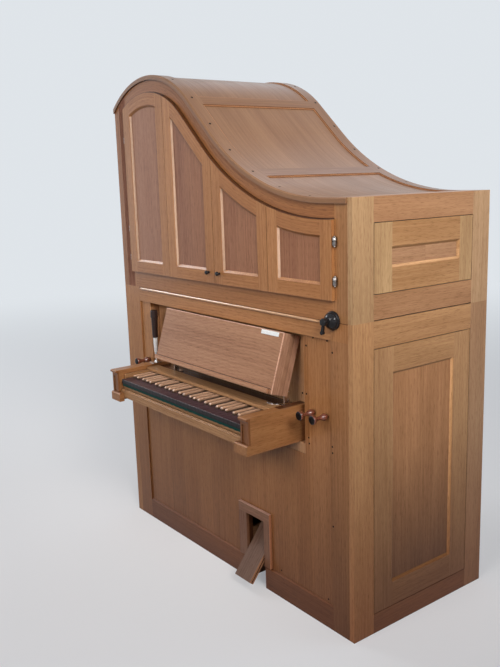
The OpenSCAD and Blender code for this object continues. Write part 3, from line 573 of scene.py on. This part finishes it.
# Upper case. The frame round the doors follows the roof: its head is sawn to the curve, and the
# side toward the light is framed like the lower one.
hump_in, hump_r, sweep_r, slope = 0.265, 0.416, 0.835, math.radians(42.449)
hump_lead = math.asin(hump_in / hump_r)     # angle of the curve at the left edge
down = Vector((math.cos(slope), 0, -math.sin(slope)))
out_1 = Vector((math.sin(slope), 0, math.cos(slope)))
hump_c = Vector((-half + hump_in, 0, cad_hi.z - hump_r))
low_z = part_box("upper_side_right")[1].z
tan_1 = hump_c + hump_r * out_1
run = (tan_1.z - low_z - sweep_r * (1 - math.cos(slope))) / math.sin(slope)
sweep_c = tan_1 + run * down + sweep_r * out_1
arc_1 = hump_r * (hump_lead + slope)


def follow_roof(k):
    """Adds S, the way along the roof curve, and D, the depth below it, to a material's axes."""
    def from_point(point):
        dx, dz = k.less(k.axes["X"], point.x), k.less(k.axes["Z"], point.z)
        return dx, dz, k.calc("SQRT", k.plus(k.times(dx, dx), k.times(dz, dz)))

    dx, dz, far = from_point(hump_c)
    d_hump = k.less(hump_r, far)
    s_hump = k.times(k.plus(k.calc("ARCTAN2", dx, dz), hump_lead), hump_r)
    dx, dz, far = from_point(sweep_c)
    d_sweep = k.less(far, sweep_r)
    angle = k.calc("ARCTAN2", k.times(dx, -1.0), k.times(dz, -1.0))
    s_sweep = k.plus(arc_1 + run, k.times(k.less(slope, angle), sweep_r))
    dx, dz, far = from_point(tan_1)
    along = k.less(k.times(dx, math.cos(slope)), k.times(dz, math.sin(slope)))
    off = k.plus(k.times(dx, math.sin(slope)), k.times(dz, math.cos(slope)))
    past_1 = k.calc("GREATER_THAN", along, 0.0)
    past_2 = k.calc("GREATER_THAN", along, run)
    k.axes["S"] = k.mix(past_2, k.mix(past_1, s_hump, k.plus(along, arc_1)), s_sweep)
    k.axes["D"] = k.mix(past_2, k.mix(past_1, d_hump, k.times(off, -1.0)), d_sweep)


# Zones of the front: bottom rail in painted shade under the doors, left stile in painted shade
# and the painted shadow of the door beside it, the head in painted shade under the roof lip, the
# painted shadow line over the doors, right stile.
leaf_lo, leaf_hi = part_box("door_leaf_1")[0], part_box("door_leaf_4")[1]
leaf_top = hump_r - (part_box("door_leaf_1")[1].z - hump_c.z)
left_stile = [("X", -END, leaf_lo.x), ("Z", split_z, END)]
zones = [("X", (0.92, 0.88, 0.84), [("X", leaf_lo.x + 0.01, leaf_hi.x - 0.01),
                                    ("Z", split_z, leaf_lo.z + 0.02)]),
         ("Z", (0.62, 0.52, 0.56), left_stile),
         ("Z", (0.71, 0.77, 1.42), [("X", 0.034 - half, leaf_lo.x), ("Z", split_z, END)]),
         ("S", (0.74, 0.66, 0.60), [("D", -END, 0.08), ("X", leaf_lo.x, leaf_hi.x)]),
         ("S", (0.24, 0.19, 0.17), [("D", leaf_top - 0.0028, leaf_top + 0.004),
                                    ("X", leaf_lo.x - 0.002, leaf_hi.x)]),
         ("Z", (0.82, 0.86, 0.92), [("X", leaf_hi.x + 0.006, END)])]
paint("upper_front_frame", oak("oak_upper_frame", FRONT_D, FRONT_L, zones=zones, seed=11.0,
                               curve=True, dull=left_stile))
paint("upper_side_left", oak("oak_upper_left", (0.220, 0.082, 0.026), (0.395, 0.168, 0.060),
                             seed=12.0, coat=0.1))
# Zones: front and rear stiles with a painted cool sheen, the rails between them.
zones = [("Z", (0.98, 1.07, 1.14), [("Y", -END, stile_y0)]),
         ("Z", (1.08, 1.22, 1.42), [("Y", stile_y1, END)]),
         ("Y", (0.90, 0.84, 0.86), [("Y", stile_y0, stile_y1)])]
paint("upper_side_right", oak("oak_upper_right", SIDE_D, SIDE_L, zones=zones, seed=13.0))

# Roof. Two bent stiles follow the ogee along front and back, four rails cross between them, and
# three thin fields lie in the bevelled frame; small dark plugs cover the screws.
roof_rails = [(0.0, 0.062), (0.575, 0.632), (1.000, 1.068), (1.425, END)]
roof_stile, roof_bevel = 0.056, 0.045
zones = [("Y", (0.94, 0.90, 0.86), [("Y", roof_stile, deep - roof_stile), ("S", s0, s1)])
         for s0, s1 in roof_rails]
# Painted highlight on the sunk bevels round the fields.
zones += [("S", (1.75, 1.60, 1.45), [("Y", roof_bevel, deep - roof_bevel), ("D", 0.0010, END)])]
ROOF_D, ROOF_L = (0.178, 0.082, 0.039), (0.310, 0.162, 0.082)
paint("roof_frame", oak("oak_roof_frame", ROOF_D, ROOF_L, grain="S", zones=zones, seed=14.0,
                        curve=True, rough=0.32, pores=0.88))
paint("roof_fields", oak("oak_roof_fields", ROOF_D, ROOF_L, grain="S", seed=15.0, curve=True,
                         rough=0.32, pores=0.88))


def on_roof(s):
    """Place and outward direction on the roof curve at arc length s."""
    if arc_1 <= s < arc_1 + run:
        return tan_1 + (s - arc_1) * down, out_1
    hump = s < arc_1
    a = s / hump_r - hump_lead if hump else max(0.0, slope - (s - arc_1 - run) / sweep_r)
    out = Vector((math.sin(a), 0, math.cos(a)))
    return (hump_c + hump_r * out if hump else sweep_c - sweep_r * out), out


plug = [(0, 0.0002), (0.0030, 0.0001), (0.0034, 0.0002), (0.0042, 0.0003), (0.0045, -0.0004)]
plugs, plug_s, plug_pitch = 9, 0.155, 0.1446    # in each stile: number, first place, distance
plug_top = 0.0006       # on the crown the plugs sink by this, to stay flush with it
mesh = bmesh.new()
for i in range(plugs):
    place, out = on_roof(plug_s + plug_pitch * i)
    place -= out * max(0.0, place.z + plug_top - cad_hi.z)
    for y in (0.022, deep - 0.017):
        turn(mesh, plug, (place.x, y, place.z), out, 16)
piece("roof_plugs", mesh, mats=[dark_steel])

# Folding doors. Four leaves with stiles running through, a bottom rail and a head rail sawn to
# the curve; the fields are of redder oak. The two middle leaves have small black knobs.
door_w = (leaf_hi.x - leaf_lo.x) / 4
leaf_stile, leaf_rail, leaf_head = 0.050, 0.044, 0.114
for i in range(4):
    x0 = leaf_lo.x + i * door_w
    rail_x = ("X", x0 + leaf_stile, x0 + door_w - leaf_stile)
    # Zones: bottom rail, head rail, the painted shadow line above, a painted highlight on the
    # bevel that faces the light.
    zones = [("X", (0.97, 0.94, 0.90), [rail_x, ("Z", -END, leaf_lo.z + leaf_rail)]),
             ("S", (0.96, 0.93, 0.90), [rail_x, ("D", 0.0, leaf_head)]),
             ("S", (0.22, 0.17, 0.15), [("D", -END, leaf_top + 0.0012)]),
             ("Z", (1.4, 2.1, 4.0), [("X", x0 + leaf_stile - 0.0005, x0 + leaf_stile + bevel_w),
                                     ("Y", leaf_lo.y + 0.0012, END),
                                     ("Z", leaf_lo.z + leaf_rail + 0.004, END),
                                     ("D", leaf_head + 0.001, END)])]
    paint(f"door_leaf_{i + 1}", oak(f"oak_leaf_{i + 1}", FRONT_D, FRONT_L, zones=zones,
                                    seed=20.0 + i, curve=True))
field_boards = [leaf_lo.x + i * door_w for i in (1, 2, 3)]
paint("door_fields", oak("oak_door_fields", (0.215, 0.083, 0.040), (0.385, 0.178, 0.090),
                         boards=field_boards, seed=25.0))

black = plain("black_gloss", (0.012, 0.011, 0.012), 0.18, coat=VARNISH, shine=SATIN)
knob = [(0.0042, 0.0), (0.0045, 0.0015), (0.0036, 0.004), (0.0040, 0.0065), (0.0068, 0.0085),
        (0.0079, 0.0115), (0.0072, 0.0145), (0.0045, 0.0168), (0.0, 0.0175)]
knob_lo, knob_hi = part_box("door_knobs")
knob_r = 0.008
mesh = bmesh.new()
for x in (knob_lo.x + knob_r, knob_hi.x - knob_r):
    turn(mesh, knob, (x, knob_hi.y, (knob_lo.z + knob_hi.z) / 2), (0, -1, 0), 32)
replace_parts(piece("door_knobs_turned", mesh, mats=[black]), "door_knobs")

# Hinges: turned steel barrels in two knuckles with a waist between them and button ends, their
# thin leaves let in between door and frame.
steel = plain("worn_steel", (0.34, 0.31, 0.29), 0.34, metal=1.0, speck=0.3)
barrel_half, barrel_off = 0.0165, 0.0065
barrel = [(0.0, -barrel_half), (0.0022, -0.0158), (0.0030, -0.0142), (0.0025, -0.0128),
          (0.0045, -0.0120), (0.0060, -0.0102), (0.0060, -0.0020), (0.0052, -0.0012),
          (0.0040, -0.0006)]
barrel += [(r, -h) for r, h in reversed(barrel)]
hinge_z, hinge_pitch = leaf_lo.z + 0.058, 0.116
heads = [(1, hinge_z), (1, hinge_z + hinge_pitch), (-1, hinge_z), (-1, hinge_z + hinge_pitch),
         (-1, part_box("door_hinges")[1].z - barrel_half)]
tab_w, tab_z = 0.0012, (0.002, 0.011)
mesh = bmesh.new()
for s, z in heads:
    x = leaf_hi.x + barrel_off if s > 0 else leaf_lo.x - barrel_off
    y, size = (-0.007, 1.0) if s > 0 else (-0.0055, 0.83)
    turn(mesh, [(r * size, h) for r, h in barrel], (x, y, z), (0, 0, 1), 28)
    # One leaf stands edge on behind the barrel, the other lies flat beside it.
    for x0, x1, z0, z1, y0, thick in ((-tab_w, tab_w, -tab_z[1], -tab_z[0], -y / 2, -y),
                                      (-s * barrel_off, -s * 0.001, *tab_z, 0.0, 2 * tab_w)):
        for v in bmesh.ops.create_cube(mesh, size=1.0)["verts"]:
            v.co = Vector((x + (x0 + x1) / 2 + v.co.x * abs(x1 - x0), y + y0 + v.co.y * thick,
                           z + (z0 + z1) / 2 + v.co.z * (z1 - z0)))
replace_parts(piece("door_hinges_turned", mesh, mats=[steel]), "door_hinges")

# Key desk. Cheeks and rail are solid oak, lit from above; the bed and the blocks beside the keys
# are the same wood.
desk_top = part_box("desk_cheeks")[1].z
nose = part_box("desk_cheeks")[0].y
keys_lo, keys_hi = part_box("naturals")
# Zones: painted shade on the ends of the cheeks, painted shade in the corner right of the keys.
zones = [("Z", (0.62, 0.54, 0.52), [("Y", -END, nose + 0.016),
                                    ("Z", desk_top - 0.088, desk_top - 0.002)]),
         ("X", (0.24, 0.17, 0.15), [("X", keys_hi.x + 0.010, keys_hi.x + 0.0395),
                                    ("Y", -0.062, END), ("Z", desk_top - 0.0006, END)])]
paint("desk_cheeks", oak("oak_cheeks", (0.250, 0.102, 0.036), (0.430, 0.200, 0.078), grain="Y",
                         zones=zones, seed=30.0, figure=0.02), 0.0025)
rail = oak("oak_desk_rail", (0.26, 0.12, 0.05), (0.46, 0.25, 0.115), grain="X", seed=31.0,
           rough=0.46, coat=0.12)
paint("key_rail", rail)
paint("desk_bed", rail)
zones = [("Y", PLAIN, [("Y", -END, -0.07)])]
paint("key_batten", oak("oak_batten", (0.31, 0.15, 0.064), (0.52, 0.29, 0.14), grain="X",
                        zones=zones, seed=32.0))
paint("desk_shelf", oak("oak_dark_shelf", (0.018, 0.008, 0.006), (0.075, 0.034, 0.022), grain="X",
                        seed=33.0, rough=0.24, coat=0.8))


# Keyboard. Naturals of dark oiled wood, sharps of pale pear with eased ends, a strip of green
# felt under the fronts of the naturals. Each key is cut from another place of the plank.
def key_wood(name, dark, light, pitch, seed, rough, shadow, coat, shine):
    """Key stock. The shadow (axis, low, high, tint) marks the part in its neighbours' shade."""
    k = Shader(name)
    key = k.calc("FLOOR", k.calc("DIVIDE", k.less(k.axes["X"], keys_lo.x), pitch))
    odd = k.chance(k.plus(key, seed))
    move = k.times(odd, 5.0)
    fibre = k.vector(k.plus(k.axes["X"], move), k.axes["Y"], k.plus(k.axes["Z"], move))
    streak = k.noise(fibre, 260.0, 3.0, 0.6, (1.0, 0.04, 1.0))
    shade = k.plus(k.times(streak, 0.7), k.times(odd, 0.35))
    colour = k.mix_colour(shade, (*dark, 1.0), (*light, 1.0))
    axis, low, high, tint = shadow
    k.set(Base_Color=k.tinted(colour, k.spread(k.axes[axis], low, high, tint, 1.0)),
          Roughness=k.spread(streak, 0.3, 0.7, rough + 0.05, rough - 0.05),
          Specular_IOR_Level=shine, Coat_Weight=coat, Coat_Roughness=0.12)
    return k.mat


naturals = 33
key_pitch = (keys_hi.x - keys_lo.x) / naturals
sharps_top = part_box("sharps")[1].z
# Painted shade: the front faces of the naturals and the lower sides of the sharps are darkened.
under_arris = ("Y", keys_lo.y + 0.0004, keys_lo.y + 0.0012, 0.12)
paint("naturals", key_wood("rosewood_keys", (0.030, 0.014, 0.017), (0.085, 0.044, 0.052),
                           key_pitch, 3.0, 0.34, under_arris, 0.12, SATIN), 0.0014)
between_sharps = ("Z", keys_hi.z + 0.0035, sharps_top - 0.0015, 0.10)
paint("sharps", key_wood("pear_keys", (0.39, 0.205, 0.112), (0.68, 0.41, 0.265), key_pitch / 2,
                         9.0, 0.46, between_sharps, 0.05, 0.5), 0.0028)

# The front arrises of the naturals are rubbed round by use, a little differently on each key;
# their pale colour is partly wear and partly a painted highlight.
key_gap, proud = 0.0016, 0.00015
least_wear, more_wear = 0.0012, 0.0005
arc_steps = 4
mesh = bmesh.new()
for i in range(naturals):
    x0 = keys_lo.x + i * key_pitch + key_gap / 2
    worn = least_wear + more_wear * math.sin(i * 2.4) ** 2
    skin(mesh, [[mesh.verts.new((x, keys_lo.y + worn * (1 - math.sin(a)) - proud,
                                 keys_hi.z - worn * (1 - math.cos(a)) + proud))
                 for a in [math.pi / 2 * j / arc_steps for j in range(arc_steps + 1)]]
                for x in (x0, x0 + key_pitch - key_gap)])
piece("key_arrises", mesh, mats=[plain("rubbed_rosewood_highlit", (0.20, 0.15, 0.16), 0.16, coat=1.0,
                                       speck=0.5)])

# Felt. A strip of green wool felt lies on its slip under the naturals and is folded down over the
# front of it; the lower edge was cut by hand and wavers.
felt = Shader("green_felt")
fuzz = felt.noise(felt.coord, 1400.0, 2.0, 0.7)
felt.set(Base_Color=felt.mix_colour(fuzz, (0.002, 0.036, 0.030, 1.0), (0.006, 0.085, 0.066, 1.0)),
         Roughness=0.95, Sheen_Weight=0.2, Specular_IOR_Level=0.1)
paint("felt_strip", felt.mat, 0.0)
felt_lo, felt_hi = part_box("felt_strip")
felt_steps, felt_in, fold = 240, 0.001, 0.0042      # steps along it, free ends, height of fold
mesh = bmesh.new()
rows = []
for i in range(felt_steps + 1):
    x = felt_lo.x + felt_in + (felt_hi.x - felt_lo.x - 2 * felt_in) * i / felt_steps
    drop = fold + 0.0005 * math.sin(i * 0.71) + 0.0003 * math.sin(i * 1.93)
    swell = 0.00025 * math.sin(i * 0.47)
    line = [(-0.0001, 0.0), (-0.0006 + swell, -drop * 0.4), (-0.0005 + swell, -drop),
            (0.0004, -drop)]
    rows.append([mesh.verts.new((x, felt_lo.y + dy, felt_lo.z + dz)) for dy, dz in line])
skin(mesh, rows)
piece("felt_fold", mesh, mats=[felt.mat])

# Music desk. One wide board with a lively figure leans between two end boards, with a head
# inside; plated brackets carry it on the shelf. The small name plate is left blank.
lean = math.radians(17.6)
desk_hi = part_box("music_desk")[1]
recess_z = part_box("recess_lining")[1].z - lining_t
desk_y, desk_drop, desk_d, desk_l, desk_rail = 0.044, 0.020, 0.068, 0.199, 0.015
rest_y = desk_y * math.cos(lean) - (recess_z - desk_drop) * math.sin(lean) - desk_d
rest_z = desk_y * math.sin(lean) + (recess_z - desk_drop) * math.cos(lean)
foot_z = rest_z - desk_l + desk_rail
# Colour of the painted highlights on the arrises.
ARRIS_HIGHLIGHT = (1.9, 2.3, 3.0)
# Zones, square to the leaning board: its right end with a painted cool reflection, the end
# board's painted shade, the joint of the foot rail, the front edges, and painted highlights on
# the arrises at the top and the right.
zones = [("Z", (1.0, 1.06, 1.22), [("X", desk_hi.x - 0.0015, END)]),
         ("Z", (0.88, 0.92, 1.02), [("X", desk_hi.x - 0.0015, END),
                                    ("Y", rest_y + 0.030, rest_y + 0.048)]),
         ("X", (0.30, 0.26, 0.24), [("Y", rest_y - 0.001, rest_y + 0.002),
                                    ("Z", foot_z - 0.001, foot_z + 0.0016)]),
         ("X", (1.12, 1.12, 1.12), [("Y", -END, rest_y - 0.001)]),
         ("X", ARRIS_HIGHLIGHT, [("Y", rest_y - 0.001, rest_y + 0.003), ("Z", rest_z - 0.0025, END)]),
         ("X", ARRIS_HIGHLIGHT, [("Y", rest_y - 0.001, rest_y + 0.003), ("X", desk_hi.x - 0.0028, END)])]
paint("music_desk", oak("oak_music_desk", (0.24, 0.105, 0.052), (0.45, 0.235, 0.128), grain="X",
                        zones=zones, seed=40.0, figure=0.05, tilt=lean), 0.002)
chrome = plain("chrome", (0.84, 0.82, 0.80), 0.24, metal=1.0, speck=0.1)
paint("desk_fittings", chrome, 0.0006)
enamel = plain("white_enamel", (0.80, 0.80, 0.78), 0.25, coat=0.4, speck=0.05)
paint("name_plate", enamel, 0.0005)

# Catch. At the right end the desk is held by a strip of plated steel bent to a hook, with a
# dome-headed screw before it.
dome = [(0.0062, 0.0), (0.0060, 0.0012), (0.0048, 0.0024), (0.0030, 0.0031), (0.0010, 0.0034),
        (0.0, 0.0034)]
mesh = bmesh.new()
turn(mesh, dome, (0.373, -0.040, 0.709), steps=28)
bend = [Vector(p) for p in ((0.352, 0.012, 0.7075), (0.350, -0.004, 0.7080),
                            (0.344, -0.016, 0.7090), (0.334, -0.025, 0.7100),
                            (0.322, -0.029, 0.7105), (0.311, -0.027, 0.7105),
                            (0.304, -0.020, 0.7100))]
last = len(bend) - 1
strap, tip, thick, ring_steps = 0.0042, 0.0022, Vector((0, 0, 0.0022)), 12
rows = []
for i, p in enumerate(bend):
    way = (bend[min(i + 1, last)] - bend[max(i - 1, 0)]).normalized()
    out = way.cross(Vector((0, 0, 1))).normalized()
    wide = strap if i < last else tip
    rows.append([mesh.verts.new(p + out * (wide * math.cos(a)) + thick * math.sin(a))
                 for a in [math.tau * j / ring_steps for j in range(ring_steps)]])
skin(mesh, rows, closed=True)
mesh.faces.new(reversed(rows[0]))
mesh.faces.new(rows[-1])
piece("desk_catch", mesh, mats=[chrome])

# Lamp: a tube of glossy dark plastic over a white sleeve, on a slim plated foot that stands on
# the left cheek.
paint("lamp_shade", plain("lamp_brown", (0.030, 0.016, 0.013), 0.16, coat=VARNISH, shine=SATIN),
      0.0)
paint("lamp_neck", enamel, 0.0)
paint("lamp_foot", chrome, 0.0005)

# Draw stops: turned knobs of red-brown wood with a ring and a waist, a polished black face let
# into the head; the round stock slides in the front panel.
knob_wood = Shader("turned_rosewood")
streak = knob_wood.noise(knob_wood.coord, 300.0, 3.0, 0.6, (1.0, 0.06, 1.0))
knob_wood.set(Base_Color=knob_wood.mix_colour(streak, (0.075, 0.018, 0.010, 1.0),
                                              (0.235, 0.068, 0.036, 1.0)),
              Roughness=0.22, Coat_Weight=0.6, Coat_Roughness=0.08)
body_line = [(0.0050, -0.080), (0.0050, 0.0004), (0.0072, 0.0006), (0.0082, 0.0030),
             (0.0100, 0.0062), (0.0117, 0.0105), (0.0120, 0.0140), (0.0114, 0.0172),
             (0.0098, 0.0212), (0.0076, 0.0255), (0.0063, 0.0300), (0.0060, 0.0340),
             (0.0064, 0.0385), (0.0076, 0.0430), (0.0098, 0.0480), (0.0120, 0.0520),
             (0.0140, 0.0552), (0.0149, 0.0578), (0.0150, 0.0605), (0.0146, 0.0626),
             (0.0136, 0.0638)]
ebony = plain("ebony_face", (0.006, 0.005, 0.005), 0.30, shine=0.12)
face_line = [(0.0136, 0.0638), (0.0128, 0.0645), (0.0110, 0.0654), (0.0080, 0.0660),
             (0.0, 0.0660)]
for i, body in enumerate(("stop_a", "stop_b", "stop_c")):
    node = f"stop_knob_{i + 1}"
    lo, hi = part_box(node)
    place = ((lo.x + hi.x) / 2, panel_y, (lo.z + hi.z) / 2)
    mesh = bmesh.new()
    turn(mesh, body_line, place, (0, -1, 0), 40)
    turn(mesh, face_line, place, (0, -1, 0), 40, mat=1)
    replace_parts(piece(f"stop_{i + 1}_turned", mesh, body, [knob_wood.mat, ebony], 50), node)

# Blower switch: a rotary switch of black moulded plastic, a stepped dome with a bar handle,
# screwed to the front near its right edge.
base_lo, base_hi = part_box("switch_base")
centre = (base_lo + base_hi) / 2
r = (base_hi.x - base_lo.x) / 2
dome = [(r, 0.0), (r, 0.0045), (r - 0.0008, 0.0062), (r - 0.0030, 0.0072), (r - 0.0034, 0.0120),
        (r - 0.0055, 0.0160), (r - 0.0100, 0.0202), (0.0150, 0.0240), (0.0125, 0.0254),
        (0.0092, 0.0262), (0.0090, 0.0290), (0.0, 0.0290)]
mesh = bmesh.new()
turn(mesh, dome, (centre.x, 0, centre.z), (0, -1, 0), 56)
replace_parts(piece("switch_dome", mesh, mats=[black], smooth=35), "switch_base")
paint("switch_handle", black)

# Swell pedal: a thick board of two layers that rocks on a steel axle behind the front, in an
# opening with a flat trim.
pedal_tilt = math.radians(-52)
axle_y, axle_z = 0.033, 0.125
layer = axle_y * math.sin(pedal_tilt) + axle_z * math.cos(pedal_tilt)
pedal_side = ("X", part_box("swell_pedal")[1].x - 0.0012, END)
# Zones: the side edge of the board, its paler grain lightened further with painted light, and the
# dark glue line in it.
zones = [("Y", (2.6, 2.2, 1.7), [pedal_side]),
         ("Y", (0.25, 0.2, 0.2), [pedal_side, ("Z", layer + 0.0165, layer + 0.0205)])]
paint("swell_pedal", oak("oak_pedal", (0.105, 0.052, 0.034), (0.215, 0.125, 0.085), grain="Y",
                         zones=zones, seed=50.0, tilt=pedal_tilt, rough=0.5, coat=0.1), 0.0015)
paint("pedal_axle", steel, 0.0)
trim_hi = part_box("pedal_trim")[1]
trim_w, lit_edge_w = 0.034, 0.0022
# Zones: the head of the trim and painted highlights on its outer edges.
zones = [("X", PLAIN, [("Z", trim_hi.z - trim_w, END)]),
         ("X", (2.0, 2.5, 3.4), [("Z", trim_hi.z - lit_edge_w, END)]),
         ("Z", (1.9, 1.7, 1.5), [("X", trim_hi.x - lit_edge_w, END)])]
paint("pedal_trim", oak("oak_trim", (0.150, 0.062, 0.032), (0.285, 0.138, 0.078), zones=zones,
                        seed=51.0))

lo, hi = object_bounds()
